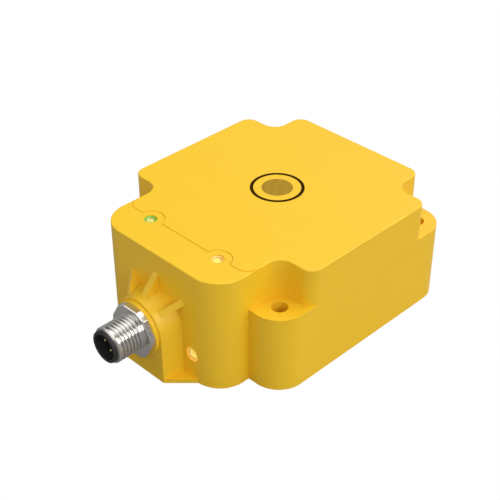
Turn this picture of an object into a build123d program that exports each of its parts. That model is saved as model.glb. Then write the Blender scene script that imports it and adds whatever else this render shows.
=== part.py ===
from build123d import *
import os
from math import cos, radians, sin

# Rectangular inductive proximity sensor with a four-pin M12 plug, in millimetres.
# The origin is the centre of the four mounting holes on the base, +Z points out of the
# sensing face and the plug points along -Y. A "reach" is a distance along -Y.

# Housing
body_width = 80.0
body_height = 40.0
rear_reach = 40.0
front_reach = 52.4
arm_depth = 54.0
lobe_width = 54.0
ear_height = 27.0
ear_radius = 9.5
tower_radius = 4.0
lobe_radius = 10.0
notch_radius = 5.0
notch_flat = 0.5
rim_fillet = 0.3
wall = 2.5
face_wall = 2.5
cover_ledge = 1.2

# Mounting holes
hole_pitch = 65.0
hole_diameter = 5.3

# Plug boss with its round seat, gusset ribs and base web
axis_height = 16.5
boss_length = 7.6
boss_tip_radius = 10.0
boss_root_radius = 11.2
seat_radius = 9.2
seat_height = 1.3
rib_angles = (45, 90, 135)
rib_thickness = 2.2
rib_reach = 16.7
rib_setback = 1.8
web_reach = 7.6
web_thickness = 1.5

# Display windows and the shallow groove that runs around them on the sensing face
top_window_spacing = 30.0
top_window_reach = 41.0
top_window_diameter = 4.2
front_window_spacing = 29.9
front_window_height = 9.85
front_window_diameter = 5.2
window_recess = 0.75
window_seat = 0.4
groove_setback = 0.4
groove_width = 0.35
groove_depth = 0.3
groove_bulge_radius = 4.3
groove_corner_radius = 4.0

# Base cover, sealing layer and boards
cover_thickness = 2.5
cover_gap = 0.1
sealing_depth = 3.0
board_thickness = 1.6
board_gap = 1.0
connector_board_width = 40.0
connector_board_space = 2.9
connector_board_rise = 4.0
connector_neck_clearance = 2.0
post_radius = 3.0
post_circle_radius = 26.5
peg_radius = 1.5
peg_length = 4.0
hole_clearance = 0.1

# Sensing coil
core_radius = 31.0
core_height = 9.0
core_base = 3.0
core_rim = 2.5
core_post_radius = 8.0
core_bore_radius = 2.7
locating_ring_width = 1.2
locating_ring_height = 2.0
carrier_height = 5.0
carrier_width = 9.0
former_gap = 0.3
former_wall = 1.0
winding_margin = 1.5
terminal_radius = 0.4
terminal_spacing = 12.0
terminal_offset = 16.0

# M12 plug
thread_radius = 6.0
thread_length = 9.6
thread_chamfer = 0.6
hex_across_flats = 17.0
hex_corner_radius = 9.0
hex_thickness = 1.9
hex_chamfer = 0.3
shank_radius = 6.75
shell_bore_radius = 4.95
seal_width = 1.4
seal_thickness = 1.3
seal_chamfer = 0.35
collar_radius = 5.3
collar_length = 1.0
collar_fillet = 0.2
insert_clearance = 0.05
socket_radius = 4.3
socket_depth = 9.0
key_width = 1.2
key_height = 0.6
key_angle = 45
key_setback = 0.5
pin_circle_radius = 2.5
pin_radius = 0.5
pin_tip_fillet = 0.3
pin_setback = 2.1
pin_angles = (90, 0, 270, 180)
tail_radius = 0.4
tail_length = 0.8

# Board header and lamps
header_pin_count = 6
header_pitch = 2.54
header_pin_width = 0.64
header_height = 2.2
header_depth = 2.5
lamp_length = 2.0
lamp_width = 1.25
lamp_base = 0.45
lamp_height = 0.8
guide_clearance = 0.05
guide_flange = 0.9
guide_flange_thickness = 1.0
guide_chamfer = 0.3

# Components on the main board, placed from the board's middle
chip_place = (0.0, -6.0)
chip_length = 9.9
chip_width = 3.9
chip_height = 1.5
chip_standoff = 0.15
chip_leads = 8
lead_pitch = 1.27
lead_width = 0.42
lead_thickness = 0.25
lead_reach = 1.05
tank_place = (0.0, 4.0)
tank_size = (7.2, 5.0, 4.2)
transistor_place = (12.0, -28.0)
transistor_size = (6.6, 6.1, 2.3)
transistor_tab = 3.0
choke_place = (-12.0, -28.0)
choke_radius = 4.0
choke_height = 4.5
choke_flange = 0.9
capacitor_place = (0.0, -26.0)
capacitor_radius = 4.0
capacitor_height = 7.0
regulator_place = (0.0, -36.0)
regulator_size = (6.5, 3.5, 1.6)
diode_reach = 37.0
diode_pitch = (24.0, 1.0)
diode_size = (4.3, 3.6, 2.2)
ceramic_pitch = (5.0, 8.0)
ceramic_size = (3.2, 1.6, 1.3)
resistor_row = 12.0
resistor_pitch = (16.0, 3.0)
resistor_size = (2.0, 1.25, 0.5)

# Levels along Z
inner_top = body_height - face_wall
core_bottom = inner_top - core_height
board_top = core_bottom - carrier_height
board_bottom = board_top - board_thickness
sealing_top = cover_thickness + sealing_depth

# Reaches along -Y
wall_inside = front_reach - wall
boss_front = front_reach + boss_length
seat_front = boss_front + seat_height
hex_front = seat_front + hex_thickness
thread_front = hex_front + thread_length
collar_front = thread_front + collar_length
pin_front = collar_front - pin_setback
socket_floor = collar_front - socket_depth
connector_board_front = wall_inside - connector_board_space
connector_board_back = connector_board_front - board_thickness
header_back = connector_board_back - header_depth
groove_reach = top_window_reach - groove_setback

# Window centres: on the sensing face as X, Y and on the front wall as X, Z
top_windows = [(side * top_window_spacing / 2, -top_window_reach) for side in (-1, 1)]
front_windows = [(side * front_window_spacing / 2, front_window_height) for side in (-1, 1)]

os.makedirs("parts", exist_ok=True)


def front_plane(reach):
    """Plane that faces -Y at a reach, with its origin on the base."""
    return Plane(origin=(0, -reach, 0), x_dir=(1, 0, 0), z_dir=(0, -1, 0))


def plug_plane(reach):
    """Plane that faces -Y at a reach, with its origin on the plug's axis."""
    return Plane(origin=(0, -reach, axis_height), x_dir=(1, 0, 0), z_dir=(0, -1, 0))


def tower_plan(inset):
    """Plan of the full-height body: a cross whose front arm is longer, drawn in by inset."""
    with BuildSketch() as plan:
        Rectangle(body_width, arm_depth)
        with Locations((0, (rear_reach - front_reach) / 2)):
            Rectangle(lobe_width, rear_reach + front_reach)
        across = (body_width + lobe_width) / 4
        along = (rear_reach + arm_depth / 2) / 2
        notches = plan.vertices().filter_by(
            lambda corner: abs(corner.X) < across and abs(corner.Y) < along
        )
        fillet(notches, notch_radius)
        notch_depth = min(body_width / 2 - lobe_width / 2, rear_reach - arm_depth / 2)
        corner_radius = min(tower_radius, notch_depth - notch_radius - notch_flat)
        fillet(plan.vertices().group_by(Axis.Y)[0], lobe_radius)
        fillet(plan.vertices().group_by(Axis.Y)[-1], corner_radius)
        fillet(plan.vertices().group_by(Axis.X)[0], corner_radius)
        fillet(plan.vertices().group_by(Axis.X)[-1], corner_radius)
        if inset > 0:
            offset(amount=-inset)
    return plan.sketch


def side_plane(place):
    """Plane across the plug at X = place, with reach to the right and +Z up."""
    return Plane(origin=(place, 0, 0), x_dir=(0, -1, 0), z_dir=(-1, 0, 0))


def boss_profile(reach, radius):
    """Arch of the plug boss: a half circle about the plug's axis, on legs to the base."""
    with BuildSketch(front_plane(reach)) as arch:
        with Locations((0, axis_height)):
            Circle(radius)
        with Locations((0, axis_height / 2)):
            Rectangle(2 * radius, axis_height)
    return arch.sketch


def groove_plan():
    """Narrow band between the sensing face and the display strip, round both windows."""
    with BuildSketch() as kept:
        with Locations((0, -groove_reach)):
            Rectangle(lobe_width, 2 * groove_corner_radius)
        with Locations(*top_windows):
            Circle(groove_bulge_radius + groove_width)
    with BuildSketch() as band:
        with Locations((0, -groove_reach / 2)):
            RectangleRounded(lobe_width, groove_reach, groove_corner_radius)
        with Locations(*top_windows):
            Circle(groove_bulge_radius, mode=Mode.SUBTRACT)
        offset(amount=-groove_width, mode=Mode.SUBTRACT)
        add(kept.sketch, mode=Mode.INTERSECT)
    return band.sketch


def rows(columns, count, pitch, row=0.0):
    """Places of a grid of components about X = 0, with its middle at Y = row."""
    grid = GridLocations(*pitch, columns, count)
    return [(place.position.X, place.position.Y + row) for place in grid]


# Housing: one moulding, open at the base
with BuildPart() as housing:
    extrude(tower_plan(0), amount=body_height)
    fillet(housing.faces().sort_by(Axis.Z)[-1].outer_wire().edges(), rim_fillet)
    with BuildSketch():
        RectangleRounded(body_width, 2 * rear_reach, ear_radius)
    extrude(amount=ear_height)
    loft([boss_profile(front_reach, boss_root_radius), boss_profile(boss_front, boss_tip_radius)])
    with BuildSketch(plug_plane(boss_front)):
        Circle(seat_radius)
    extrude(amount=seat_height)
    for angle in rib_angles:
        radial = Vector(cos(radians(angle)), 0, sin(radians(angle)))
        across = Vector(sin(radians(angle)), 0, -cos(radians(angle)))
        rib_plane = Plane(origin=(0, -front_reach, axis_height), x_dir=radial, z_dir=across)
        with BuildSketch(rib_plane):
            with BuildLine():
                Polyline(
                    (boss_tip_radius / 2, -wall / 2),
                    (rib_reach, -wall / 2),
                    (rib_reach, 0),
                    (boss_tip_radius, boss_length - rib_setback),
                    (boss_tip_radius / 2, boss_length - rib_setback),
                    close=True,
                )
            make_face()
        extrude(amount=rib_thickness / 2, both=True)
    with BuildSketch():
        with BuildLine():
            Polyline(
                (-boss_tip_radius, -boss_front),
                (boss_tip_radius, -boss_front),
                (boss_tip_radius + web_reach, -front_reach),
                (-boss_tip_radius - web_reach, -front_reach),
                close=True,
            )
        make_face()
    extrude(amount=web_thickness)

    # Hollow for the electronics, and the ledge that the cover drops into
    extrude(tower_plan(wall), amount=inner_top, mode=Mode.SUBTRACT)
    extrude(tower_plan(wall - cover_ledge), amount=cover_thickness, mode=Mode.SUBTRACT)
    with BuildSketch(Plane.XY.offset(inner_top)):
        Circle(core_radius + hole_clearance + locating_ring_width)
        Circle(core_radius + hole_clearance, mode=Mode.SUBTRACT)
    extrude(amount=-locating_ring_height)

    # Bore for the plug, with a pocket for its seal
    with BuildSketch(plug_plane(wall_inside - wall)):
        Circle(shank_radius)
    extrude(amount=seat_front - wall_inside + wall, mode=Mode.SUBTRACT)
    with BuildSketch(plug_plane(seat_front)):
        Circle(shank_radius + seal_width)
    extrude(amount=-seal_thickness, mode=Mode.SUBTRACT)

    # Mounting holes, windows and groove
    with BuildSketch():
        with GridLocations(hole_pitch, hole_pitch, 2, 2):
            Circle(hole_diameter / 2)
    extrude(amount=ear_height, mode=Mode.SUBTRACT)
    for place, depth, centers, diameter in (
        (Plane.XY.offset(inner_top), face_wall, top_windows, top_window_diameter),
        (front_plane(wall_inside), wall, front_windows, front_window_diameter),
    ):
        with BuildSketch(place.offset(-window_seat)):
            with Locations(*centers):
                Circle(diameter / 2 + guide_flange)
        extrude(amount=window_seat + depth / 2)
        with BuildSketch(place.offset(-window_seat)):
            with Locations(*centers):
                Circle(diameter / 2)
        extrude(amount=window_seat + depth, mode=Mode.SUBTRACT)
    with BuildSketch(Plane.XY.offset(body_height)):
        add(groove_plan())
    extrude(amount=-groove_depth, mode=Mode.SUBTRACT)
housing.part.label = "housing"
export_step(housing.part, "parts/housing.step")

# Cover that closes the base, with four posts that press the coil stack to the face
posts = PolarLocations(post_circle_radius, 4, start_angle=45)
with BuildPart() as base_cover:
    extrude(tower_plan(wall - cover_ledge + cover_gap), amount=cover_thickness)
    with BuildSketch(Plane.XY.offset(cover_thickness)):
        with posts:
            Circle(post_radius)
    extrude(amount=board_bottom - cover_thickness)
    with BuildSketch(Plane.XY.offset(board_bottom)):
        with posts:
            Circle(peg_radius)
    extrude(amount=peg_length)
base_cover.part.label = "base_cover"
export_step(base_cover.part, "parts/base_cover.step")

# Sealing layer poured over the cover
with BuildPart() as sealing_layer:
    with BuildSketch(Plane.XY.offset(cover_thickness)):
        add(tower_plan(wall))
        with posts:
            Circle(post_radius, mode=Mode.SUBTRACT)
    extrude(amount=sealing_depth)
sealing_layer.part.label = "sealing_layer"
export_step(sealing_layer.part, "parts/sealing_layer.step")

# Ferrite pot core, open towards the sensing face
terminals = [(side * terminal_spacing / 2, terminal_offset) for side in (-1, 1)]
with BuildPart() as ferrite_core:
    with BuildSketch(Plane.XY.offset(core_bottom)):
        Circle(core_radius)
    extrude(amount=core_height)
    with BuildSketch(Plane.XY.offset(core_bottom + core_base)):
        Circle(core_radius - core_rim)
        Circle(core_post_radius, mode=Mode.SUBTRACT)
    extrude(amount=core_height - core_base, mode=Mode.SUBTRACT)
    with BuildSketch(Plane.XY.offset(core_bottom)):
        Circle(core_bore_radius)
        with Locations(*terminals):
            Circle(2 * terminal_radius)
    extrude(amount=core_height, mode=Mode.SUBTRACT)
ferrite_core.part.label = "ferrite_core"
export_step(ferrite_core.part, "parts/ferrite_core.step")

# Coil former and its winding, in the core's channel
former_bottom = core_bottom + core_base
former_height = core_height - core_base - former_gap
former_inner = core_post_radius + former_gap
former_outer = core_radius - core_rim - former_gap
hub_radius = former_inner + former_wall
with BuildPart() as coil_former:
    with BuildSketch(Plane.XZ):
        with BuildLine():
            Polyline(
                (former_inner, former_bottom),
                (former_outer, former_bottom),
                (former_outer, former_bottom + former_wall),
                (hub_radius, former_bottom + former_wall),
                (hub_radius, former_bottom + former_height - former_wall),
                (former_outer, former_bottom + former_height - former_wall),
                (former_outer, former_bottom + former_height),
                (former_inner, former_bottom + former_height),
                close=True,
            )
        make_face()
    revolve(axis=Axis.Z)
    with BuildSketch(Plane.XY.offset(former_bottom)):
        with Locations(*terminals):
            Circle(terminal_radius)
    extrude(amount=former_wall, mode=Mode.SUBTRACT)
coil_former.part.label = "coil_former"
export_step(coil_former.part, "parts/coil_former.step")

winding_bottom = former_bottom + former_wall
winding_top = former_bottom + former_height - former_wall
winding_outer = former_outer - winding_margin
with BuildPart() as coil_winding:
    with BuildSketch(Plane.XZ):
        with BuildLine():
            edge = Polyline(
                (winding_outer, winding_bottom),
                (hub_radius, winding_bottom),
                (hub_radius, winding_top),
                (winding_outer, winding_top),
            )
            middle = (winding_outer + winding_margin / 2, (winding_bottom + winding_top) / 2)
            ThreePointArc(edge @ 1, middle, edge @ 0)
        make_face()
    revolve(axis=Axis.Z)
coil_winding.part.label = "coil_winding"
export_step(coil_winding.part, "parts/coil_winding.step")

with BuildPart() as coil_terminals:
    with BuildSketch(Plane.XY.offset(board_bottom - tail_length)):
        with Locations(*terminals):
            Circle(terminal_radius)
    extrude(amount=former_bottom + former_wall - board_bottom + tail_length)
coil_terminals.part.label = "coil_terminals"
export_step(coil_terminals.part, "parts/coil_terminals.step")

# Ring that carries the core above the main board
with BuildPart() as core_carrier:
    with BuildSketch(Plane.XY.offset(board_top)):
        Circle(core_radius)
        Circle(core_radius - carrier_width, mode=Mode.SUBTRACT)
    extrude(amount=carrier_height)
    with BuildSketch(Plane.XY.offset(board_top)):
        with posts:
            Circle(peg_radius + hole_clearance)
    extrude(amount=peg_length - board_thickness + hole_clearance, mode=Mode.SUBTRACT)
core_carrier.part.label = "core_carrier"
export_step(core_carrier.part, "parts/core_carrier.step")

# Main board, with a slot at the front for the neck of the upright connector board
header_bend = header_back - header_pin_width
header_places = [
    header_pitch * (index - (header_pin_count - 1) / 2) for index in range(header_pin_count)
]
slot_reach = connector_board_back - board_gap
guide_footprint = top_window_diameter + 2 * guide_flange
neck_width = top_window_spacing - guide_footprint - 2 * connector_neck_clearance
with BuildPart() as main_board:
    with BuildSketch(Plane.XY.offset(board_bottom)):
        add(tower_plan(wall + board_gap))
        with Locations((0, -slot_reach - front_reach / 2)):
            Rectangle(neck_width + 2 * board_gap, front_reach, mode=Mode.SUBTRACT)
        with posts:
            Circle(peg_radius + hole_clearance, mode=Mode.SUBTRACT)
        with Locations(*terminals):
            Circle(terminal_radius + hole_clearance, mode=Mode.SUBTRACT)
        with Locations(*[(place, -header_bend) for place in header_places]):
            Circle(header_pin_width, mode=Mode.SUBTRACT)
    extrude(amount=board_thickness)
main_board.part.label = "main_board"
export_step(main_board.part, "parts/main_board.step")

# Connector board, upright behind the plug, with shoulders under the main board
pin_places = [
    (pin_circle_radius * cos(radians(angle)), pin_circle_radius * sin(radians(angle)))
    for angle in pin_angles
]
header_level = board_top + header_height / 2
connector_board_bottom = sealing_top + board_gap
shoulder_height = board_bottom - board_gap - connector_board_bottom
connector_board_height = board_top + connector_board_rise - connector_board_bottom
with BuildPart() as connector_board:
    with BuildSketch(front_plane(connector_board_back)):
        with Locations((0, connector_board_bottom)):
            align_base = (Align.CENTER, Align.MIN)
            Rectangle(connector_board_width, shoulder_height, align=align_base)
            Rectangle(neck_width, connector_board_height, align=align_base)
        with Locations(*[(x, axis_height + z) for x, z in pin_places]):
            Circle(tail_radius + hole_clearance, mode=Mode.SUBTRACT)
        with Locations(*[(place, header_level) for place in header_places]):
            Circle(header_pin_width, mode=Mode.SUBTRACT)
    extrude(amount=board_thickness)
connector_board.part.label = "connector_board"
export_step(connector_board.part, "parts/connector_board.step")

# Right-angle header that joins the two boards: a strip and its bent pins
header_length = header_pin_count * header_pitch
with BuildPart() as header_strip:
    with BuildSketch(front_plane(header_back)):
        with Locations((0, header_level)):
            Rectangle(header_length, header_height)
        with Locations(*[(place, header_level) for place in header_places]):
            Rectangle(header_pin_width, header_pin_width, mode=Mode.SUBTRACT)
    extrude(amount=header_depth)
header_strip.part.label = "header_strip"
export_step(header_strip.part, "parts/header_strip.step")

header_tip = connector_board_front + tail_length
half_pin = header_pin_width / 2
with BuildPart() as header_pins:
    for place in header_places:
        with BuildSketch(side_plane(place)):
            with BuildLine():
                Polyline(
                    (header_bend - half_pin, header_level + half_pin),
                    (header_tip, header_level + half_pin),
                    (header_tip, header_level - half_pin),
                    (header_bend + half_pin, header_level - half_pin),
                    (header_bend + half_pin, board_bottom - tail_length),
                    (header_bend - half_pin, board_bottom - tail_length),
                    close=True,
                )
            make_face()
        extrude(amount=half_pin, both=True)
header_pins.part.label = "header_pins"
export_step(header_pins.part, "parts/header_pins.step")

# Four indicators, each a surface-mount lamp with a clear guide from it into its window
indicators = {}
for side, hand in ((-1, "left"), (1, "right")):
    top_place = (side * top_window_spacing / 2, -top_window_reach, board_top)
    indicators["top_" + hand] = (
        Plane(origin=top_place),
        inner_top - board_top - window_seat,
        face_wall + window_seat,
        top_window_diameter,
    )
    front_place = (side * front_window_spacing / 2, -connector_board_front, front_window_height)
    indicators["front_" + hand] = (
        Plane(origin=front_place, x_dir=(1, 0, 0), z_dir=(0, -1, 0)),
        connector_board_space - window_seat,
        wall + window_seat,
        front_window_diameter,
    )

for name, (board_plane, wall_distance, wall_depth, window_diameter) in indicators.items():
    with BuildPart() as lamp:
        with BuildSketch(board_plane):
            Rectangle(lamp_length, lamp_width)
        extrude(amount=lamp_base)
        with BuildSketch(board_plane.offset(lamp_base)):
            Rectangle(lamp_length - 2 * lamp_base, lamp_width)
        extrude(amount=lamp_height - lamp_base)
    lamp.part.label = f"lamp_{name}"
    export_step(lamp.part, f"parts/lamp_{name}.step")

    outward = Axis(board_plane.origin, board_plane.z_dir)
    with BuildPart() as light_guide:
        with BuildSketch(board_plane.offset(lamp_height)):
            Circle(window_diameter / 2 - guide_clearance)
        extrude(amount=wall_distance + wall_depth - window_recess - lamp_height)
        chamfer(light_guide.faces().sort_by(outward)[-1].edges(), guide_chamfer)
        with BuildSketch(board_plane.offset(wall_distance)):
            Circle(window_diameter / 2 + guide_flange)
        extrude(amount=-guide_flange_thickness)
    light_guide.part.label = f"light_guide_{name}"
    export_step(light_guide.part, f"parts/light_guide_{name}.step")

# Threaded metal shell of the plug: shank in the boss, hexagon on its seat, thread in front
with BuildPart() as connector_shell:
    with BuildSketch(plug_plane(wall_inside)):
        Circle(shank_radius)
    extrude(amount=seat_front - wall_inside)
    with BuildSketch(plug_plane(seat_front)):
        RegularPolygon(hex_across_flats / 2, 6, major_radius=False)
        Circle(hex_corner_radius, mode=Mode.INTERSECT)
    extrude(amount=hex_thickness)
    chamfer(connector_shell.faces().sort_by(Axis.Y)[0].edges(), hex_chamfer)
    with BuildSketch(plug_plane(hex_front)):
        Circle(thread_radius)
    extrude(amount=thread_length)
    chamfer(connector_shell.faces().sort_by(Axis.Y)[0].edges(), thread_chamfer)
    with BuildSketch(plug_plane(wall_inside)):
        Circle(shell_bore_radius)
    extrude(amount=thread_front - wall_inside, mode=Mode.SUBTRACT)
connector_shell.part.label = "connector_shell"
export_step(connector_shell.part, "parts/connector_shell.step")

# Flat rubber seal in its pocket behind the hexagon
with BuildPart() as shell_seal:
    with BuildSketch(plug_plane(seat_front - seal_thickness)):
        Circle(shank_radius + seal_width)
        Circle(shank_radius, mode=Mode.SUBTRACT)
    extrude(amount=seal_thickness)
    chamfer(shell_seal.edges(), seal_chamfer)
shell_seal.part.label = "shell_seal"
export_step(shell_seal.part, "parts/shell_seal.step")

# Insulating carrier of the contacts, with the keyed socket that a cable plug enters
key_inner = socket_radius - key_height
with BuildPart() as contact_carrier:
    with BuildSketch(plug_plane(wall_inside)):
        Circle(shell_bore_radius - insert_clearance)
    extrude(amount=thread_front - wall_inside)
    with BuildSketch(plug_plane(thread_front)):
        Circle(collar_radius)
    extrude(amount=collar_length)
    fillet(contact_carrier.faces().sort_by(Axis.Y)[0].edges(), collar_fillet)
    with BuildSketch(plug_plane(socket_floor)):
        Circle(socket_radius)
    extrude(amount=socket_depth, mode=Mode.SUBTRACT)
    with BuildSketch(plug_plane(socket_floor)):
        with PolarLocations(key_inner + key_height / 2, 1, start_angle=key_angle):
            Rectangle(2 * key_height, key_width)
        Circle(socket_radius + insert_clearance, mode=Mode.INTERSECT)
    extrude(amount=socket_depth - key_setback)
    with BuildSketch(plug_plane(wall_inside)):
        with Locations(*pin_places):
            Circle(pin_radius + insert_clearance)
    extrude(amount=socket_floor - wall_inside, mode=Mode.SUBTRACT)
contact_carrier.part.label = "contact_carrier"
export_step(contact_carrier.part, "parts/contact_carrier.step")

# Contact pins: thin tail through the connector board, round nose in the socket
for number, (across, up) in enumerate(pin_places, start=1):
    with BuildPart() as contact_pin:
        with BuildSketch(plug_plane(connector_board_back - tail_length)):
            with Locations((across, up)):
                Circle(tail_radius)
        extrude(amount=wall_inside - connector_board_back + tail_length)
        with BuildSketch(plug_plane(wall_inside)):
            with Locations((across, up)):
                Circle(pin_radius)
        extrude(amount=pin_front - wall_inside)
        fillet(contact_pin.faces().sort_by(Axis.Y)[0].edges(), pin_tip_fillet)
    contact_pin.part.label = f"contact_pin_{number}"
    export_step(contact_pin.part, f"parts/contact_pin_{number}.step")

# Evaluation chip: body with a lead frame of gull wings along two sides
with BuildPart() as evaluation_chip:
    with BuildSketch(Plane.XY.offset(board_top + chip_standoff)):
        with Locations(chip_place):
            Rectangle(chip_length, chip_width)
    extrude(amount=chip_height)
    fillet(evaluation_chip.edges().filter_by(Axis.Z), chip_standoff)
    for index in range(chip_leads):
        lead_x = chip_place[0] + lead_pitch * (index - (chip_leads - 1) / 2)
        lead_middle = board_top + chip_standoff + chip_height / 2
        for side in (-1, 1):
            root = chip_place[1] + side * (chip_width / 2 - lead_thickness)
            knee = chip_place[1] + side * (chip_width / 2 + lead_thickness)
            toe = chip_place[1] + side * (chip_width / 2 + lead_reach)
            lead_plane = Plane(origin=(lead_x, 0, 0), x_dir=(0, 1, 0), z_dir=(1, 0, 0))
            with BuildSketch(lead_plane):
                with BuildLine():
                    Polyline(
                        (root, lead_middle),
                        (knee + side * lead_thickness, lead_middle),
                        (knee + side * lead_thickness, board_top + lead_thickness),
                        (toe, board_top + lead_thickness),
                        (toe, board_top),
                        (knee, board_top),
                        (knee, lead_middle - lead_thickness),
                        (root, lead_middle - lead_thickness),
                        close=True,
                    )
                make_face()
            extrude(amount=lead_width / 2, both=True)
evaluation_chip.part.label = "evaluation_chip"
export_step(evaluation_chip.part, "parts/evaluation_chip.step")

# Power stage under the main board: transistor with its tab, regulator, choke and capacitor
with BuildPart() as output_transistor:
    with BuildSketch(Plane.XY.offset(board_bottom)):
        with Locations(transistor_place):
            Rectangle(transistor_size[0], transistor_size[1] + transistor_tab)
    extrude(amount=-lead_thickness)
    with BuildSketch(Plane.XY.offset(board_bottom)):
        with Locations(transistor_place):
            Rectangle(transistor_size[0], transistor_size[1])
    extrude(amount=-transistor_size[2])
    chamfer(output_transistor.faces().sort_by(Axis.Z)[0].edges(), lead_thickness)
output_transistor.part.label = "output_transistor"
export_step(output_transistor.part, "parts/output_transistor.step")

with BuildPart() as power_choke:
    with BuildSketch(Plane.XY.offset(board_bottom)):
        with Locations(choke_place):
            Circle(choke_radius)
    extrude(amount=-choke_height)
    with BuildSketch(Plane.XY.offset(board_bottom - choke_flange)):
        with Locations(choke_place):
            Circle(choke_radius)
            Circle(choke_radius - choke_flange, mode=Mode.SUBTRACT)
    extrude(amount=2 * choke_flange - choke_height, mode=Mode.SUBTRACT)
power_choke.part.label = "power_choke"
export_step(power_choke.part, "parts/power_choke.step")

with BuildPart() as storage_capacitor:
    with BuildSketch(Plane.XY.offset(board_bottom)):
        with Locations(capacitor_place):
            Circle(capacitor_radius)
    extrude(amount=-capacitor_height)
    fillet(storage_capacitor.faces().sort_by(Axis.Z)[0].edges(), lead_thickness)
storage_capacitor.part.label = "storage_capacitor"
export_step(storage_capacitor.part, "parts/storage_capacitor.step")

# Flat components, soldered on top of the main board, or below it with a height that points down
flat_components = {
    "tank_capacitor": ([tank_place], tank_size, board_top, 1),
    "chip_resistors": (rows(2, 3, resistor_pitch, resistor_row), resistor_size, board_top, 1),
    "voltage_regulator": ([regulator_place], regulator_size, board_bottom, -1),
    "protection_diodes": (rows(2, 1, diode_pitch, -diode_reach), diode_size, board_bottom, -1),
    "ceramic_capacitors": (rows(3, 2, ceramic_pitch), ceramic_size, board_bottom, -1),
}
for name, (places, (length, width, height), level, way) in flat_components.items():
    with BuildPart() as component:
        with BuildSketch(Plane.XY.offset(level)):
            with Locations(*places):
                Rectangle(length, width)
        extrude(amount=way * height)
    component.part.label = name
    export_step(component.part, f"parts/{name}.step")
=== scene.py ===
"""Looks of a flat cuboid inductive proximity sensor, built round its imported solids.

The frame's origin is the centre of the four mounting holes on the base, +Z leaves the sensing
face and the plug points along -Y. Everything is in metres.
"""

from __future__ import annotations

import logging
import math
from collections.abc import Callable, Mapping, Sequence
from dataclasses import dataclass, field
from enum import Enum

import bpy
from mathutils import Matrix, Vector


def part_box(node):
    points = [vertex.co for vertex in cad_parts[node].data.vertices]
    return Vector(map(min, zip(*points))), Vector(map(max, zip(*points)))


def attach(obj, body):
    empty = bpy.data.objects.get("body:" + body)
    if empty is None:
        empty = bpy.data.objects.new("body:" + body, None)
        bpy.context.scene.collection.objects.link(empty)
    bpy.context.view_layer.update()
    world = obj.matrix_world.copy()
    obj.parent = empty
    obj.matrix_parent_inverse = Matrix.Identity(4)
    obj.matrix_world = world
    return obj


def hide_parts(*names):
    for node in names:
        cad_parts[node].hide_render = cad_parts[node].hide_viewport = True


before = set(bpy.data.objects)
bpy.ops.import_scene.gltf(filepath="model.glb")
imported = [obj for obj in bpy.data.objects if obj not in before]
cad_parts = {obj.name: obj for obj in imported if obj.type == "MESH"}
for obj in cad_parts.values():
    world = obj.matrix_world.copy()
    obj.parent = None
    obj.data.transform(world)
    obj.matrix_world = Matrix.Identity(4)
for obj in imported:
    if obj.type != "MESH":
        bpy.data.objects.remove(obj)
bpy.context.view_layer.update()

LOG = logging.getLogger("sensor")
MM = 0.001
BODY = "root"

Color = tuple[float, float, float]
Point = tuple[float, float]
WHITE: Color = (1.0, 1.0, 1.0)


def srgb(red: int, green: int, blue: int) -> Color:
    """Turn a display colour into the linear colour that shaders use.

    Args:
        red: Red from 0 to 255.
        green: Green from 0 to 255.
        blue: Blue from 0 to 255.

    Returns:
        The linear red, green and blue.
    """

    def linear(level: int) -> float:
        share = level / 255
        return share / 12.92 if share <= 0.04045 else ((share + 0.055) / 1.055) ** 2.4

    return linear(red), linear(green), linear(blue)


class Signal:
    """A number that varies over a surface, with operators that add Math nodes."""

    def __init__(self, graph: Nodes, socket: bpy.types.NodeSocket) -> None:
        """Wrap one output socket of a node tree."""
        self.graph = graph
        self.socket = socket

    def _math(self, operation: str, *terms: Signal | float) -> Signal:
        """Add a Math node over up to three terms."""
        node = self.graph.add("ShaderNodeMath", {"operation": operation}, dict(enumerate(terms)))
        return Signal(self.graph, node.outputs[0])

    def __add__(self, other: Signal | float) -> Signal:
        """Add a signal or a number."""
        return self._math("ADD", self, other)

    __radd__ = __add__

    def __sub__(self, other: Signal | float) -> Signal:
        """Take a signal or a number away."""
        return self._math("SUBTRACT", self, other)

    def __rsub__(self, other: Signal | float) -> Signal:
        """Take this signal from a number."""
        return self._math("SUBTRACT", other, self)

    def __mul__(self, other: Signal | float) -> Signal:
        """Multiply by a signal or a number."""
        return self._math("MULTIPLY", self, other)

    __rmul__ = __mul__

    def __truediv__(self, other: Signal | float) -> Signal:
        """Divide by a signal or a number."""
        return self._math("DIVIDE", self, other)

    def __pow__(self, power: float) -> Signal:
        """Raise to a power."""
        return self._math("POWER", self, power)

    def __abs__(self) -> Signal:
        """Drop the sign."""
        return self._math("ABSOLUTE", self)

    def sine(self) -> Signal:
        """Sine of the signal, in radians."""
        return self._math("SINE", self)

    def root(self) -> Signal:
        """Square root of the signal."""
        return self._math("SQRT", self)

    def above_zero(self) -> Signal:
        """Raise anything below zero to zero."""
        return self._math("MAXIMUM", self, 0.0)

    def above(self, edge: float, softness: float) -> Signal:
        """Ramp from 0 to 1 as the signal passes an edge.

        Args:
            edge: Value at the middle of the ramp.
            softness: Half the width of the ramp.

        Returns:
            The mask.
        """
        limits = {"From Min": edge - softness, "From Max": edge + softness}
        node = self.graph.add(
            "ShaderNodeMapRange",
            {"interpolation_type": "SMOOTHSTEP"},
            {"Value": self} | limits,
        )
        return Signal(self.graph, node.outputs[0])


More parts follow.
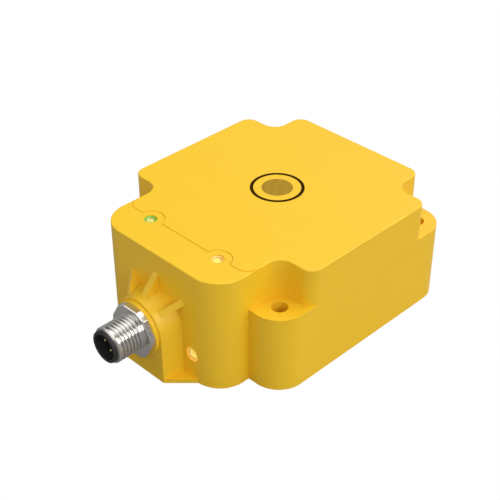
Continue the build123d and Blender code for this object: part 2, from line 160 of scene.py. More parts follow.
class Nodes:
    """Node tree that other classes fill."""

    def __init__(self, owner: bpy.types.Material | bpy.types.World) -> None:
        """Empty the node tree of a material or a world.

        Args:
            owner: Material or world that the tree belongs to.
        """
        owner.use_nodes = True
        self.tree = owner.node_tree
        self.tree.nodes.clear()

    def add(
        self,
        kind: str,
        settings: Mapping[str, object] | None = None,
        inputs: Mapping[str | int, object] | None = None,
    ) -> bpy.types.Node:
        """Add any node.

        Args:
            kind: Node type, such as ShaderNodeTexNoise.
            settings: Node properties, set before its sockets.
            inputs: Values or links of its input sockets, by name or number.

        Returns:
            The new node.
        """
        node = self.tree.nodes.new(kind)
        for name, value in (settings or {}).items():
            setattr(node, name, value)
        for key, value in (inputs or {}).items():
            self.feed(node.inputs[key], value)
        return node

    def feed(self, socket: bpy.types.NodeSocket, value: object) -> None:
        """Link a signal or an output to a socket, or set the socket's own value.

        Args:
            socket: Input socket to feed.
            value: Signal, output socket, number, colour or vector.
        """
        if isinstance(value, Signal):
            value = value.socket
        if isinstance(value, bpy.types.NodeSocket):
            self.tree.links.new(value, socket)
        elif socket.type == "RGBA":
            socket.default_value = (*value, 1.0)
        else:
            socket.default_value = value

    def coordinates(self) -> bpy.types.NodeSocket:
        """Place of the surface in the frame, in metres."""
        return self.add("ShaderNodeTexCoord").outputs["Object"]

    def parts(self, vector: bpy.types.NodeSocket) -> tuple[Signal, Signal, Signal]:
        """Split a vector into its three components."""
        node = self.add("ShaderNodeSeparateXYZ", inputs={0: vector})
        return tuple(Signal(self, output) for output in node.outputs)

    def axes(self, origin: Vector = Vector()) -> tuple[Signal, Signal, Signal]:
        """Place of the surface from an origin, as three signals in millimetres.

        Args:
            origin: Point in the frame that counts as zero.

        Returns:
            X, Y and Z.
        """
        moved = self.vector("SUBTRACT", self.coordinates(), tuple(origin))
        return self.parts(self.vector("SCALE", moved, Scale=1 / MM))

    def dot(self, vector: bpy.types.NodeSocket, direction: Vector) -> Signal:
        """Length of a vector along a direction.

        Args:
            vector: Output socket of the vector.
            direction: Direction of length 1.

        Returns:
            The length.
        """
        terms = {0: vector, 1: tuple(direction)}
        node = self.add("ShaderNodeVectorMath", {"operation": "DOT_PRODUCT"}, terms)
        return Signal(self, node.outputs["Value"])

    def vector(self, operation: str, *terms: object, **inputs: object) -> bpy.types.NodeSocket:
        """Add a Vector Math node over its terms and named inputs."""
        numbered = dict(enumerate(terms)) | inputs
        return self.add("ShaderNodeVectorMath", {"operation": operation}, numbered).outputs[0]

    def noise(self, size: float, detail: float = 2.0, seed: float = 0.0) -> Signal:
        """Smooth noise from 0 to 1.

        Args:
            size: Size of a patch, in metres.
            detail: Octaves of finer noise.
            seed: Slice of the noise to take.

        Returns:
            The noise.
        """
        node = self.add(
            "ShaderNodeTexNoise",
            {"noise_dimensions": "4D"},
            {"Vector": self.coordinates(), "W": seed, "Scale": 1 / size, "Detail": detail},
        )
        return Signal(self, node.outputs[0])

    def mix(self, factor: Signal, first: object, second: object) -> bpy.types.NodeSocket:
        """Mix two colours, from the first at factor 0 to the second at factor 1."""
        node = self.add("ShaderNodeMix", {"data_type": "RGBA"}, {0: factor, 6: first, 7: second})
        return node.outputs[2]


class Graph(Nodes):
    """Node tree of one material round a Principled BSDF."""

    def __init__(self, name: str) -> None:
        """Start an empty material with its surface shader.

        Args:
            name: Name of the material.
        """
        self.material = bpy.data.materials.new(name)
        super().__init__(self.material)
        self.shader = self.add("ShaderNodeBsdfPrincipled")
        surface = {"Surface": self.shader.outputs[0]}
        self.output = self.add("ShaderNodeOutputMaterial", inputs=surface)

    def set(self, **values: object) -> None:
        """Feed sockets of the surface shader, written with underscores for spaces."""
        for name, value in values.items():
            self.feed(self.shader.inputs[name.replace("_", " ")], value)

    def bump(self, height: Signal, depth: float) -> None:
        """Raise the shader's normal by a height signal.

        Args:
            height: Relief from 0 to 1.
            depth: Real height of the relief, in metres.
        """
        node = self.add("ShaderNodeBump", inputs={"Height": height, "Distance": depth})
        self.set(Normal=node.outputs[0])


@dataclass(frozen=True)
class Finish:
    """A surface finish: plain even colour with a little mottling and fine relief.

    Attributes:
        name: Name of the finish.
        slot: Name of a material slot for its pieces; not used.
        color: Base colour.
        roughness: Middle roughness.
        metallic: Share of metal.
        mottle: Share by which patches are lighter and darker.
        mottle_size: Size of a patch, in metres.
        grain_size: Size of the fine relief, in metres.
        grain_depth: Height of the fine relief, in metres.
        shine: Strength of the reflections off the surface.
        gloss_spread: How far the roughness moves from patch to patch.
    """

    name: str
    slot: str
    color: Color
    roughness: float = 0.5
    metallic: float = 0.0
    mottle: float = 0.04
    mottle_size: float = 9.0 * MM
    grain_size: float = 0.25 * MM
    grain_depth: float = 0.004 * MM
    shine: float = 0.5
    gloss_spread: float = 0.04

    def shade(self, level: float) -> Color:
        """Base colour made lighter or darker by a share."""
        return tuple(min(1.0, part * level) for part in self.color)

    def paint(self, graph: Graph) -> None:
        """Feed the shader of a new graph, in a way that the other finishes replace.

        Args:
            graph: Graph of the finish's material.
        """
        patches = graph.noise(self.mottle_size, detail=3.0)
        grain = graph.noise(self.grain_size, seed=4.0)
        gloss = graph.noise(self.mottle_size / 3, seed=2.0)
        dark, pale = self.shade(1 - self.mottle), self.shade(1 + self.mottle)
        graph.set(
            Base_Color=graph.mix(patches, dark, pale),
            Metallic=self.metallic,
            Roughness=self.roughness - self.gloss_spread + 2 * self.gloss_spread * gloss,
            Specular_IOR_Level=self.shine,
        )
        graph.bump(grain, self.grain_depth)

    def material(self) -> bpy.types.Material:
        """Build the material, once for each finish.

        Returns:
            The Blender material, named apart from the frame's plain ones.
        """
        name = f"{self.name}_finish"
        known = bpy.data.materials.get(name)
        if known is not None:
            return known
        graph = Graph(name)
        self.paint(graph)
        return graph.material


@dataclass(frozen=True)
class TurnedMetal(Finish):
    """Plated metal with fine turning lines round the plug's axis and painted shade in the thread's
    root.

    Attributes:
        line_pitch: Distance between two lines, in millimetres.
        line_depth: Depth of a line, in metres.
        line_gloss: How far the lines move the roughness.
        wobble: How far the lines stray along the axis, in radians of their wave.
        wobble_size: Length over which they stray, in metres.
        smudge_size: Size of a smudge, in metres.
        smudge_gloss: How far the smudges raise the roughness.
        root_radius: Radius at which the painted shade in the thread's root is darkest, in
            millimetres.
        crest_radius: Radius from which it has its full colour, without painted shade, in millimetres.
        root_shade_level: Share of the colour that the painted shade in the thread's root keeps.
        wall: Depth of metal under the thread's root that counts as outside and gets no painted shade,
            in millimetres.
        wall_softness: Half the width of the change to the bore's colour, in millimetres.
    """

    line_pitch: float = 0.12
    line_depth: float = 0.0006 * MM
    line_gloss: float = 0.01
    wobble: float = 3.0
    wobble_size: float = 2.0 * MM
    smudge_size: float = 1.5 * MM
    smudge_gloss: float = 0.05
    root_radius: float = 5.68
    crest_radius: float = 5.9
    root_shade_level: float = 0.55
    wall: float = 0.5
    wall_softness: float = 0.1

    def paint(self, graph: Graph) -> None:
        """Lay turning lines along the axis, smudges in the gloss and painted shade in the thread's
        root.

        Args:
            graph: Graph of the finish's material.
        """
        across, reach, up = graph.axes(Vector((0.0, 0.0, Plug.axis_height)))
        radius = (across * across + up * up).root()
        middle = (self.root_radius + self.crest_radius) / 2
        crests = radius.above(middle, self.crest_radius - middle)
        # painted shade: the base colour darkens in the thread's root, but not in the bore
        painted_root_shade = (1 - crests) * radius.above(self.root_radius - self.wall, self.wall_softness)
        stray = self.wobble * graph.noise(self.wobble_size, seed=6.0)
        lines = (reach * (2 * math.pi / self.line_pitch) + stray).sine()
        smudges = graph.noise(self.smudge_size, detail=4.0, seed=1.0)
        graph.set(
            Base_Color=graph.mix(painted_root_shade, self.color, self.shade(self.root_shade_level)),
            Metallic=self.metallic,
            Roughness=self.roughness + self.smudge_gloss * smudges + self.line_gloss * lines,
        )
        graph.bump(0.5 + 0.5 * lines, self.line_depth)


@dataclass(frozen=True)
class Halftone(Finish):
    """Printed screen of small dots, on a grid at 45 degrees to the sensing face's sides.

    Attributes:
        gloss_spread: How far the patches raise the roughness.
        ground: Colour between the dots.
        pitch: Distance between two dots, in millimetres.
        coverage: Share of the face that the ink covers.
        dot_softness: Softness of a dot's edge.
    """

    gloss_spread: float = 0.06
    ground: Color = WHITE
    pitch: float = 0.36
    coverage: float = 0.62
    dot_softness: float = 0.35

    def paint(self, graph: Graph) -> None:
        """Mix ink and ground by a square screen.

        Args:
            graph: Graph of the finish's material.
        """
        across, along, _ = graph.axes()
        waves = 2 * math.pi / self.pitch / math.sqrt(2)
        screen = ((across + along) * waves).sine() + ((across - along) * waves).sine()
        edge = 2.0 * (self.coverage - 0.5)
        open_ground = screen.above(edge, self.dot_softness)
        graph.set(
            Base_Color=graph.mix(open_ground, self.color, self.ground),
            Roughness=self.roughness + self.gloss_spread * graph.noise(self.mottle_size),
            Specular_IOR_Level=self.shine,
        )
        graph.bump(1.0 - open_ground, self.grain_depth)


@dataclass(frozen=True)
class LitGuide(Finish):
    """Clear moulded light guide with a lit middle and a tinted rim, round one window.

    Attributes:
        gloss_spread: How far the speckles raise the roughness.
        middle: Colour of the lens.
        shadow: Colour of the bevel round the lens.
        center: Middle of the window's face, in metres.
        bevel_start: Radius at which the bevel begins, in millimetres.
        bevel_end: Radius at which it ends and the tinted rim begins, in millimetres.
        softness: Half the width of each change of colour, in millimetres.
        glow: Strength of the light.
        speckle_size: Size of a speckle, in metres.
        coat: Weight of the clear coat.
    """

    gloss_spread: float = 0.08
    middle: Color = WHITE
    shadow: Color = WHITE
    center: Vector = field(default_factory=Vector)
    bevel_start: float = 1.2
    bevel_end: float = 1.45
    softness: float = 0.1
    glow: float = 0.1
    speckle_size: float = 0.4 * MM
    coat: float = 0.4

    def paint(self, graph: Graph) -> None:
        """Colour by the distance from the middle of the window, and let it glow.

        Args:
            graph: Graph of the finish's material.
        """
        across, along, up = graph.axes(self.center)
        radius = (across * across + along * along + up * up).root()
        bevel = radius.above(self.bevel_start, self.softness)
        rim = radius.above(self.bevel_end, self.softness)
        tint = graph.mix(rim, graph.mix(bevel, self.middle, self.shadow), self.color)
        speckle = graph.noise(self.speckle_size, seed=3.0)
        graph.set(
            Base_Color=tint,
            Roughness=self.roughness + self.gloss_spread * speckle,
            Emission_Color=tint,
            Emission_Strength=self.glow,
            Coat_Weight=self.coat,
        )
        graph.bump(speckle, self.grain_depth)


@dataclass(frozen=True)
class CircuitLaminate(Finish):
    """Board with copper tracks that show through the solder resist.

    Attributes:
        gloss_spread: How much rougher the board is between the tracks.
        track: Colour over a track.
        track_pitch: Distance between two tracks, in millimetres.
        track_edge: Level of the wave above which a track lies.
        track_softness: Softness of a track's edge.
        track_height: Height of a track, in metres.
        bend: How far the tracks bend aside, in millimetres.
        bend_size: Length of a bend, in metres.
        region_size: Size of a region with tracks of one direction, in metres.
    """

    gloss_spread: float = 0.1
    track: Color = (0.1, 0.4, 0.2)
    track_pitch: float = 1.27
    track_edge: float = 0.1
    track_softness: float = 0.15
    track_height: float = 0.03 * MM
    bend: float = 3.2
    bend_size: float = 6.0 * MM
    region_size: float = 8.0 * MM

    def paint(self, graph: Graph) -> None:
        """Raise tracks in rows and columns of a routing grid.

        Args:
            graph: Graph of the finish's material.
        """
        across, along, up = graph.axes()
        wave = 2 * math.pi / self.track_pitch
        bend = self.bend * graph.noise(self.bend_size, detail=0.0, seed=5.0)
        rows = ((across + up + bend) * wave).sine()
        columns = ((along + bend) * wave).sine()
        regions = graph.noise(self.region_size, detail=1.0, seed=8.0).above(0.5, 0.03)
        level = rows * regions + columns * (1 - regions)
        tracks = level.above(self.track_edge, self.track_softness)
        graph.set(
            Base_Color=graph.mix(tracks, self.color, self.track),
            Roughness=self.roughness + self.gloss_spread * (1 - tracks),
        )
        graph.bump(tracks, self.track_height)


@dataclass(frozen=True)
class WoundWire(Finish):
    """Enamelled wire, wound in close turns round the coil's axis, with painted shade in the grooves
    between turns.

    Attributes:
        gloss_spread: How much rougher the wire is between two turns.
        wire: Thickness of the wire, in millimetres.
        groove_shade_level: Share of the colour that the painted shade leaves in the groove between
            two turns.
        turn_depth: Depth of the groove between two turns, in metres.
    """

    gloss_spread: float = 0.15
    wire: float = 0.3
    groove_shade_level: float = 0.35
    turn_depth: float = 0.1 * MM

    def paint(self, graph: Graph) -> None:
        """Round each turn by a wave along the radius and the height, with painted shade between
        turns.

        Args:
            graph: Graph of the finish's material.
        """
        across, along, up = graph.axes()
        radius = (across * across + along * along).root()
        turn = abs(((radius + up) * (math.pi / self.wire)).sine())
        # painted shade: the base colour darkens in the grooves between turns
        graph.set(
            Base_Color=graph.mix(turn, self.shade(self.groove_shade_level), self.color),
            Metallic=self.metallic,
            Roughness=self.roughness + self.gloss_spread * (1 - turn),
        )
        graph.bump(turn, self.turn_depth)


class Axis(Enum):
    """Direction in which the height of a turned piece grows."""

    UP = "+Z"
    FRONT = "-Y"


class Ink(Enum):
    """Printing inks and grounds of the sensing face."""

    BLACK = srgb(54, 33, 0)
    GROUND = srgb(250, 196, 44)


YELLOW = Finish(
    "yellow_moulding",
    "yellow_moulding",
    (0.928, 0.572, 0.02),
    roughness=0.38,
    mottle=0.012,
    shine=0.42,
)
COVER = Finish("cover_moulding", "cover_moulding", srgb(243, 188, 42), roughness=0.55, mottle=0.02)
INK = Finish(
    "black_print",
    "print_ink",
    Ink.BLACK.value,
    roughness=0.6,
    mottle=0.1,
    mottle_size=1.0 * MM,
    shine=0.02,
)
SCREEN = Halftone(
    "halftone_print",
    "print_ink",
    Ink.BLACK.value,
    roughness=0.5,
    shine=0.2,
    ground=Ink.GROUND.value,
)
NICKEL = TurnedMetal(
    "nickelled_brass", "nickelled_brass", (0.80, 0.78, 0.74), roughness=0.16, metallic=1.0
)
GOLD = TurnedMetal("gold_contact", "gold_contact", (0.86, 0.68, 0.36), roughness=0.2, metallic=1.0)
TIN = Finish("tinned_metal", "tinned_metal", (0.72, 0.72, 0.72), roughness=0.3, metallic=1.0)
BLACK = Finish(
    "black_insulator",
    "black_insulator",
    srgb(48, 48, 47),
    roughness=0.42,
    mottle=0.15,
    shine=0.2,
)
RUBBER = Finish("seal_rubber", "seal_rubber", srgb(30, 30, 30), roughness=0.8, mottle=0.2)
COMPOUND = Finish("sealing_compound", "sealing_compound", srgb(40, 38, 36), roughness=0.2, mottle=0.2)
FERRITE = Finish(
    "ferrite", "ferrite", srgb(62, 62, 66), roughness=0.65, mottle=0.2, grain_depth=0.02 * MM
)
FORMER = Finish("former_plastic", "former_plastic", srgb(224, 220, 208), roughness=0.5)
CARRIER = Finish("carrier_plastic", "carrier_plastic", srgb(56, 56, 60), roughness=0.55, mottle=0.1)
LAMP = Finish("lamp_resin", "lamp_resin", srgb(240, 238, 226), roughness=0.25)
CHIP = Finish("chip_resin", "chip_resin", srgb(38, 38, 40), roughness=0.6, mottle=0.2)
FILM = Finish("capacitor_film", "capacitor_film", srgb(170, 40, 32), roughness=0.25, mottle=0.1)
CAN = Finish("capacitor_can", "capacitor_can", (0.7, 0.7, 0.72), roughness=0.3, metallic=1.0)
CERAMIC = Finish("ceramic_body", "ceramic_body", srgb(180, 150, 110), roughness=0.5, mottle=0.15)
LAMINATE = CircuitLaminate(
    "board_laminate", "board_laminate", srgb(18, 84, 46), roughness=0.35, track=srgb(46, 128, 70)
)
COPPER = WoundWire("copper_wire", "copper_wire", (0.62, 0.25, 0.1), roughness=0.35, metallic=1.0)


def clamped(share: float) -> float:
    """Keep a number between 0 and 1."""
    return min(1.0, max(0.0, share))


def dress(finish: Finish, *nodes: str) -> None:
    """Give CAD nodes a finish.

    Args:
        finish: Finish to assign.
        nodes: Names of the nodes.
    """
    for name in nodes:
        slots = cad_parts[name].data.materials
        slots.clear()
        slots.append(finish.material())
    LOG.info("dressed %s with %s", ", ".join(nodes), finish.name)


@dataclass
class Surface:
    """Mesh that grows ring by ring.

    Attributes:
        points: Its points, in metres.
        faces: Its faces, by the numbers of their points.
        sharp: Angle in degrees above which an edge stays sharp.
    """

    points: list[Vector] = field(default_factory=list)
    faces: list[tuple[int, ...]] = field(default_factory=list)
    sharp: float = 32.0

    def ring(self, points: Sequence[Vector]) -> list[int]:
        """Add a closed ring of points.

        Args:
            points: Points of the ring, in order.

        Returns:
            Their numbers.
        """
        first = len(self.points)
        self.points.extend(points)
        return list(range(first, first + len(points)))

    def join(self, lower: Sequence[int], upper: Sequence[int]) -> None:
        """Join two rings of one length with quads.

        Args:
            lower: Numbers of the first ring's points.
            upper: Numbers of the second ring's points.
        """
        for here, start in enumerate(lower):
            there = (here + 1) % len(lower)
            self.faces.append((start, lower[there], upper[there], upper[here]))

    def object(self, name: str, finish: Finish) -> bpy.types.Object:
        """Make the object, smooth but for its sharp edges, and let it ride on the body.

        Args:
            name: Name of the piece.
            finish: Its finish.

        Returns:
            The new object.
        """
        mesh = bpy.data.meshes.new(name)
        mesh.from_pydata([tuple(point) for point in self.points], [], self.faces)
        mesh.validate()
        mesh.shade_smooth()
        mesh.set_sharp_from_angle(angle=math.radians(self.sharp))
        mesh.materials.append(finish.material())
        piece = bpy.data.objects.new(name, mesh)
        bpy.context.scene.collection.objects.link(piece)
        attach(piece, BODY)
        LOG.info("built %s with %d faces", name, len(self.faces))
        return piece


def spun(outline: Sequence[Point], center: Vector, axis: Axis, steps: int) -> Surface:
    """Turn a closed outline into a ring-shaped or capped solid.

    Args:
        outline: Radius and height of each corner, in millimetres, in order. A radius of 0
            is a corner on the axis.
        center: Point of the axis at height 0, in metres.
        axis: Direction of the axis.
        steps: Points round the axis.

    Returns:
        The closed surface.
    """
    turns = {
        Axis.UP: Matrix.Identity(3),
        Axis.FRONT: Matrix.Rotation(math.radians(90), 3, "X"),
    }
    surface = Surface()
    rings = []
    for radius, height in outline:
        around = [
            Vector((radius * math.cos(angle), radius * math.sin(angle), height)) * MM
            for angle in (2 * math.pi * step / steps for step in range(steps))
        ]
        if radius == 0:
            around = around[:1]
        rings.append(surface.ring([center + turns[axis] @ point for point in around]))
    for lower, upper in zip(rings, rings[1:] + rings[:1]):
        if len(lower) == 1 and len(upper) == 1:
            continue
        if len(lower) == 1 or len(upper) == 1:
            tip, rim = (lower, upper) if len(lower) == 1 else (upper, lower)
            for here in range(steps):
                there = (here + 1) % steps
                pair = (rim[there], rim[here]) if len(lower) == 1 else (rim[here], rim[there])
                surface.faces.append((tip[0], *pair))
        else:
            surface.join(lower, upper)
    return surface


@dataclass
class Housing:
    """Yellow moulding with its cover and the target printed on the sensing face.

    Attributes:
        ring_outer: Outer radius of the printed ring, in millimetres.
        ring_inner: Its inner radius, in millimetres.
        dot_radius: Radius of the printed dot, in millimetres.
        ink_thickness: Thickness of the ink, in millimetres.
        steps: Points round the print.
    """

    ring_outer: float = 8.88
    ring_inner: float = 7.79
    dot_radius: float = 5.1
    ink_thickness: float = 0.02
    steps: int = 128

    def build(self) -> None:
        """Dress the moulded nodes and print the target."""
        dress(YELLOW, "housing")
        dress(COVER, "base_cover")
        dress(COMPOUND, "sealing_layer")
        self.print_target()

    def print_target(self) -> None:
        """Lay the ring and the screened dot on the middle of the face."""
        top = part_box("housing")[1].z
        center = Vector((0.0, 0.0, top))
        ink = self.ink_thickness
        ring = [
            (self.ring_inner, 0.0),
            (self.ring_outer, 0.0),
            (self.ring_outer, ink),
            (self.ring_inner, ink),
        ]
        spun(ring, center, Axis.UP, self.steps).object("target_ring", INK)
        dot = [(0.0, 0.0), (self.dot_radius, 0.0), (self.dot_radius, ink), (0.0, ink)]
        spun(dot, center, Axis.UP, self.steps).object("target_dot", SCREEN)


@dataclass
class Plug:
    """Threaded shell, its seal, and the insert with its pins.

    Lengths are in millimetres and angles in degrees, apart from the axis height.

    Attributes:
        axis_height: Height of the plug's axis above the base, in metres.
        shank_radius: Radius of the shank behind the hexagon.
        bore_radius: Radius of the bore that holds the insert.
        flats: Width of the hexagon over its flats.
        corner_radius: Radius to which its corners are cut.
        hex_thickness: Thickness of the hexagon.
        hex_chamfer: Chamfer round its front.
        thread_radius: Radius of the thread's crests.
        thread_depth: Depth of its roots.
        pitch: Pitch of the thread.
        crest_share: Half the share of the pitch that is flat, on the crest and in the root.
        thread_length: Length from the hexagon to the front.
        lead_chamfer: Chamfer at the front.
        lead_band: Plain band behind the front.
        relief: Plain band in front of the hexagon.
        angle_step: Angle between two points round the axis.
        edge_gap: Least angle between such a point and an edge of the hexagon.
        thread_samples: Rings of points for each turn of the thread.
    """

    axis_height: float = 16.5 * MM
    shank_radius: float = 6.75
    bore_radius: float = 4.95
    flats: float = 17.0
    corner_radius: float = 9.0
    hex_thickness: float = 1.9
    hex_chamfer: float = 0.3
    thread_radius: float = 6.0
    thread_depth: float = 0.4
    pitch: float = 1.25
    crest_share: float = 0.14
    thread_length: float = 9.6
    lead_chamfer: float = 0.6
    lead_band: float = 0.75
    relief: float = 0.3
    angle_step: float = 3.0
    edge_gap: float = 1.0
    thread_samples: int = 16

    def build(self) -> None:
        """Cut the thread on the shell and dress the other nodes."""
        shell = self.shell()
        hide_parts("connector_shell")
        dress(RUBBER, "shell_seal")
        dress(BLACK, "contact_carrier")
        dress(GOLD, "contact_pin_1", "contact_pin_2", "contact_pin_3", "contact_pin_4")

    def angles(self) -> list[float]:
        """Divide the circle evenly, with a point on each edge of the hexagon.

        Returns:
            The angles round the axis in degrees.
        """
        edge = math.degrees(math.acos(self.flats / 2 / self.corner_radius))
        even = [step * self.angle_step for step in range(round(360 / self.angle_step))]
        edges = [60 * side + 30 + sign * edge for side in range(6) for sign in (-1, 1)]
        kept = [
            angle for angle in even if all(abs(angle - other) > self.edge_gap for other in edges)
        ]
        return sorted(kept + edges)

    def hexagon(self, angle: float, inset: float = 0.0) -> float:
        """Radius of the hexagon, whose corners are cut round, at an angle.

        Args:
            angle: Angle round the axis in degrees, with corners at 0, 60, 120 and on.
            inset: How far the outline is drawn in.

        Returns:
            The radius in millimetres.
        """
        from_flat = math.radians((angle % 60) - 30)
        flat = (self.flats / 2 - inset) / math.cos(from_flat)
        return min(flat, self.corner_radius - inset)

    def thread(self, angle: float, forward: float) -> float:
        """Radius of the thread.

        Args:
            angle: Angle round the axis in degrees.
            forward: Distance in front of the hexagon in millimetres.

        Returns:
            The radius in millimetres.
        """
        from_crest = 2 * abs((forward / self.pitch - angle / 360) % 1.0 - 0.5)
        flank = clamped((from_crest - self.crest_share) / (1 - 2 * self.crest_share))
        depth = self.thread_depth * flank * flank * (3 - 2 * flank)
        remaining = self.thread_length - forward
        fade_in = clamped((forward - self.relief) / (self.pitch / 2))
        fade_out = clamped((remaining - self.lead_band) / (self.pitch / 2))
        chamfer = self.thread_radius - max(0.0, self.lead_chamfer - remaining)
        return min(chamfer, self.thread_radius - depth * fade_in * fade_out)

    def shell(self) -> bpy.types.Object:
        """Build the shell as one closed surface from back to front and through its bore.

        Returns:
            The shell.
        """
        low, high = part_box("connector_shell")
        back, front = high.y, low.y
        hex_front = front + self.thread_length * MM
        seat = hex_front + self.hex_thickness * MM
        samples = round(self.thread_length / self.pitch * self.thread_samples)
        rings: list[tuple[float, Callable[[float], float]]] = [
            (back, lambda angle: self.shank_radius),
            (seat, lambda angle: self.shank_radius),
            (seat, self.hexagon),
            (hex_front + self.hex_chamfer * MM, self.hexagon),
            (hex_front, lambda angle: self.hexagon(angle, self.hex_chamfer)),
        ]
        for sample in range(samples + 1):
            forward = self.thread_length * sample / samples
            place = hex_front - forward * MM
            rings.append((place, lambda angle, ahead=forward: self.thread(angle, ahead)))
        rings.append((front, lambda angle: self.bore_radius))
        rings.append((back, lambda angle: self.bore_radius))

        surface = Surface()
        numbers = []
        for place, radius in rings:
            around = []
            for angle in self.angles():
                turn = math.radians(angle)
                out = radius(angle) * MM
                height = self.axis_height + out * math.sin(turn)
                around.append(Vector((out * math.cos(turn), place, height)))
            numbers.append(surface.ring(around))
        for lower, upper in zip(numbers, numbers[1:] + numbers[:1]):
            surface.join(lower, upper)
        return surface.object("threaded_shell", NICKEL)


@dataclass
class Indicator:
    """Light guide in one window, with a rim and a sunk lens that show the lamp behind it.

    Lengths are in millimetres.

    Attributes:
        name: Name of the CAD node that it replaces.
        axis: Direction in which it faces.
        tint: Colour of the rim.
        middle: Colour of the lens.
        shadow: Colour of the bevel round the lens.
        glow: Strength of the light.
        rim_radius: Outer radius of the rod and its rim.
        lens_radius: Radius of the lens.
        flange_place: Place of the flange's outer side along the axis, in the frame.
        rim_rise: How far the rim stands over the CAD node.
        lens_drop: How far the lens's edge lies below the CAD node's face.
        dome: Height of the lens.
        dome_shape: Radius and height of the lens's points, as shares of its own.
        edge: Chamfer round the rim.
        bevel_start: Distance from the lens to the bevel's lower edge.
        bevel_end: Distance from the lens to the bevel's upper edge.
        bevel_drop: Depth of the bevel.
        flange: Width of the flange.
        flange_thickness: Thickness of the flange.
        steps: Points round the axis.
    """

    name: str
    axis: Axis
    tint: Color
    middle: Color
    shadow: Color
    glow: float
    rim_radius: float
    lens_radius: float
    flange_place: float
    rim_rise: float = 0.5
    lens_drop: float = 0.2
    dome: float = 0.15
    dome_shape: tuple[Point, ...] = ((1.0, 0.0), (0.8, 0.4), (0.4, 0.85), (0.0, 1.0))
    edge: float = 0.1
    bevel_start: float = 0.1
    bevel_end: float = 0.35
    bevel_drop: float = 0.35
    flange: float = 0.95
    flange_thickness: float = 1.0
    steps: int = 64

    def outline(self, length: float, flange_at: float) -> list[Point]:
        """Radius and height of the guide, from the lamp's end.

        Args:
            length: Length of the rod to its rim.
            flange_at: Height of the flange's upper side.

        Returns:
            The corners.
        """
        rim, lens, top = self.rim_radius, self.lens_radius, length + self.rim_rise
        flange_low = flange_at - self.flange_thickness
        drop = length - self.lens_drop
        rod = [
            (0.0, 0.0),
            (rim, 0.0),
            (rim, flange_low),
            (rim + self.flange, flange_low),
            (rim + self.flange, flange_at),
            (rim, flange_at),
            (rim, top - self.edge),
            (rim - self.edge, top),
            (lens + self.bevel_end, top - self.edge),
            (lens + self.bevel_start, top - self.bevel_drop),
        ]
        return rod + [(lens * out, drop + self.dome * rise) for out, rise in self.dome_shape]

    def build(self) -> None:
        """Replace the plain guide by one with a rim, a lens and its glow."""
        low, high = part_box(self.name)
        center = (low + high) / 2
        if self.axis is Axis.UP:
            base = Vector((center.x, center.y, low.z))
            face = Vector((center.x, center.y, high.z))
            flange_at = self.flange_place - low.z / MM
        else:
            base = Vector((center.x, high.y, center.z))
            face = Vector((center.x, low.y, center.z))
            flange_at = self.flange_place + high.y / MM
        length = (face - base).length / MM
        glass = LitGuide(
            f"{self.name}_resin",
            "clear_guide",
            self.tint,
            roughness=0.25,
            middle=self.middle,
            shadow=self.shadow,
            center=face,
            bevel_start=self.lens_radius + self.bevel_start,
            bevel_end=self.lens_radius + self.bevel_end,
            glow=self.glow,
        )
        surface = spun(self.outline(length, flange_at), base, self.axis, self.steps)
        piece = surface.object(f"{self.name}_lens", glass)
        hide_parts(self.name)


@dataclass
class Electronics:
    """Coil, boards and components in the sealed hollow."""

    def build(self) -> None:
        """Dress the inner nodes."""
        dress(FERRITE, "ferrite_core", "power_choke")
        dress(FORMER, "coil_former")
        dress(COPPER, "coil_winding")
        dress(TIN, "coil_terminals", "header_pins")
        dress(CARRIER, "core_carrier")
        dress(LAMINATE, "main_board", "connector_board")
        dress(BLACK, "header_strip")
        dress(LAMP, "lamp_top_left", "lamp_top_right", "lamp_front_left", "lamp_front_right")
        dress(CHIP, "evaluation_chip", "output_transistor", "voltage_regulator", "protection_diodes")
        dress(CHIP, "chip_resistors")
        dress(CAN, "storage_capacitor")
        dress(FILM, "tank_capacitor")
        dress(CERAMIC, "ceramic_capacitors")


@dataclass(frozen=True)
class Side:
    """Light from one side of the studio.

    Attributes:
        azimuth: Direction of the side, in degrees from +X.
        levels: Brightness of its four bands, from the horizon upwards.
    """

    azimuth: float
    levels: tuple[float, float, float, float]


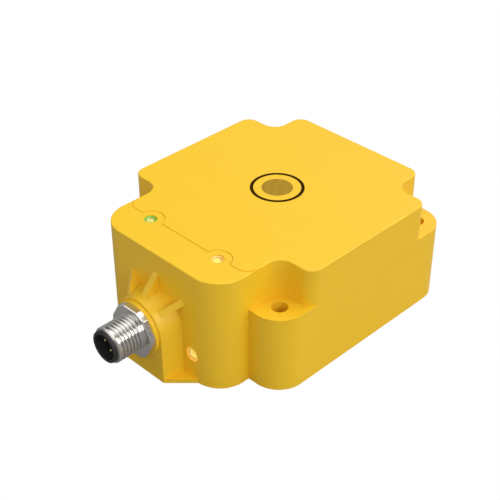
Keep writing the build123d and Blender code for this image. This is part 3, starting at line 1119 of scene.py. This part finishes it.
@dataclass
class Studio:
    """Pale floor, soft light from all sides, and camera.

    Attributes:
        sides: Light from each side.
        heights: Sine of the elevation at which one band of light passes into the next,
            with half the width of the change.
        focus: Power that narrows each side's light.
        floor_size: Length of the floor's sides, in metres.
        floor_gap: Distance from the base to the floor, in metres.
        floor_tones: Darkest and palest colour of the floor.
        floor_grain: Size of the floor's grain, in metres.
        floor_roughness: Roughness of the floor.
        camera_distance: Distance from the camera to its target, in metres.
        camera_target: Point that the camera looks at.
        camera_direction: Direction from the target to the camera.
        lens: Focal length, in millimetres.
        sensor: Width of the camera's sensor, in millimetres.
        clip_start: Nearest distance that the camera shows, in metres.
        clip_end: Farthest distance that it shows, in metres.
    """

    sides: tuple[Side, ...] = (
        Side(0.0, (0.3, 0.15, 4.74, 0.0)),
        Side(45.0, (0.3, 0.15, 1.34, 0.0)),
        Side(90.0, (0.3, 0.3, 2.33, 3.0)),
        Side(135.0, (0.3, 0.3, 0.0, 1.0)),
        Side(180.0, (0.3, 0.3, 0.0, 0.0)),
        Side(225.0, (0.3, 0.3, 0.87, 0.63)),
        Side(270.0, (0.3, 0.3, 1.41, 0.31)),
        Side(315.0, (0.3, 0.3, 0.0, 0.0)),
    )
    heights: tuple[tuple[float, float], ...] = ((0.1, 0.03), (0.36, 0.05), (0.75, 0.06))
    focus: float = 6.0
    floor_size: float = 12.0
    floor_gap: float = 0.1 * MM
    floor_tones: tuple[Color, Color] = (srgb(144, 144, 146), srgb(150, 150, 152))
    floor_grain: float = 4.0 * MM
    floor_roughness: float = 0.9
    camera_distance: float = 367.95 * MM
    camera_target: Vector = field(default_factory=lambda: Vector((0.0, -12.44, 21.38)) * MM)
    camera_direction: Vector = field(
        default_factory=lambda: Vector((1.0, -1.0, 1.0)).normalized()
    )
    lens: float = 81.19
    sensor: float = 36.0
    clip_start: float = 0.01
    clip_end: float = 20.0

    def build(self) -> None:
        """Set up everything round the sensor."""
        self.lay_floor()
        self.surround()
        self.place_camera()
        bpy.context.scene.view_settings.view_transform = "Standard"

    def lay_floor(self) -> None:
        """Lay a floor that is white to the eye and grey in reflections."""
        half, height = self.floor_size / 2, -self.floor_gap
        mesh = bpy.data.meshes.new("floor")
        square = ((-1, -1), (1, -1), (1, 1), (-1, 1))
        corners = [(x * half, y * half, height) for x, y in square]
        mesh.from_pydata(corners, [], [(0, 1, 2, 3)])
        floor = bpy.data.objects.new("floor", mesh)
        bpy.context.scene.collection.objects.link(floor)
        graph = Graph("studio_floor")
        tone = graph.mix(graph.noise(self.floor_grain), *self.floor_tones)
        graph.set(Base_Color=tone, Roughness=self.floor_roughness)
        paper = graph.add("ShaderNodeEmission", inputs={"Color": WHITE, "Strength": 1.0})
        seen = graph.add("ShaderNodeLightPath").outputs["Is Camera Ray"]
        shaders = {0: seen, 1: graph.shader.outputs[0], 2: paper.outputs[0]}
        either = graph.add("ShaderNodeMixShader", inputs=shaders)
        graph.feed(graph.output.inputs["Surface"], either.outputs[0])
        mesh.materials.append(graph.material)

    def surround(self) -> None:
        """Surround the sensor with soft light, each side and height at a level of its own."""
        world = bpy.data.worlds.new("studio")
        bpy.context.scene.world = world
        sky = Nodes(world)
        direction = sky.add("ShaderNodeTexCoord").outputs["Generated"]
        across, along, up = sky.parts(direction)
        level = (across * across + along * along).root()
        masks = [up.above(edge, softness) for edge, softness in self.heights]
        light: Signal | float = 0.0
        for side in self.sides:
            turn = math.radians(side.azimuth)
            heading = Vector((math.cos(turn), math.sin(turn), 0.0))
            facing = (sky.dot(direction, heading) / level).above_zero() ** self.focus
            glow: Signal | float = side.levels[0]
            for mask, lower, upper in zip(masks, side.levels, side.levels[1:]):
                glow = glow + (upper - lower) * mask
            light = light + facing * glow
        background = sky.add("ShaderNodeBackground", inputs={"Color": WHITE, "Strength": light})
        sky.add("ShaderNodeOutputWorld", inputs={"Surface": background.outputs[0]})

    def place_camera(self) -> None:
        """Add the camera at the photograph's viewing angle."""
        data = bpy.data.cameras.new("camera")
        data.lens = self.lens
        data.sensor_width = self.sensor
        data.clip_start = self.clip_start
        data.clip_end = self.clip_end
        camera = bpy.data.objects.new("camera", data)
        camera.location = self.camera_target + self.camera_direction * self.camera_distance
        camera.rotation_euler = (-self.camera_direction).to_track_quat("-Z", "Y").to_euler()
        bpy.context.scene.collection.objects.link(camera)
        bpy.context.scene.camera = camera


def indicators() -> list[Indicator]:
    """The four indicators.

    Returns:
        One green one and one amber one on the sensing face, and two amber ones in front.
    """
    amber: dict[str, Color] = {
        "tint": srgb(255, 200, 95),
        "middle": srgb(255, 234, 125),
        "shadow": srgb(196, 150, 66),
    }
    green: dict[str, Color] = {
        "tint": srgb(122, 184, 48),
        "middle": srgb(222, 218, 130),
        "shadow": srgb(130, 160, 70),
    }
    top: dict[str, Axis | float] = {
        "axis": Axis.UP,
        "rim_radius": 2.05,
        "lens_radius": 1.1,
        "flange_place": 37.1,
        "glow": 0.1,
    }
    front: dict[str, Axis | float] = {
        "axis": Axis.FRONT,
        "rim_radius": 2.55,
        "lens_radius": 1.4,
        "flange_place": 49.5,
        "glow": 0.36,
    }
    return [
        Indicator("light_guide_top_left", **green, **top),
        Indicator("light_guide_top_right", **amber, **top),
        Indicator("light_guide_front_left", **amber, **front),
        Indicator("light_guide_front_right", **amber, **front),
    ]


def main() -> None:
    """Build the sensor's looks and the studio, and log each part as it is finished."""
    logging.basicConfig(level=logging.INFO, format="%(name)s: %(message)s")
    for part in [Housing(), Plug(), *indicators(), Electronics(), Studio()]:
        part.build()
        LOG.info("finished %s", type(part).__name__)


if __name__ == "__main__":
    main()
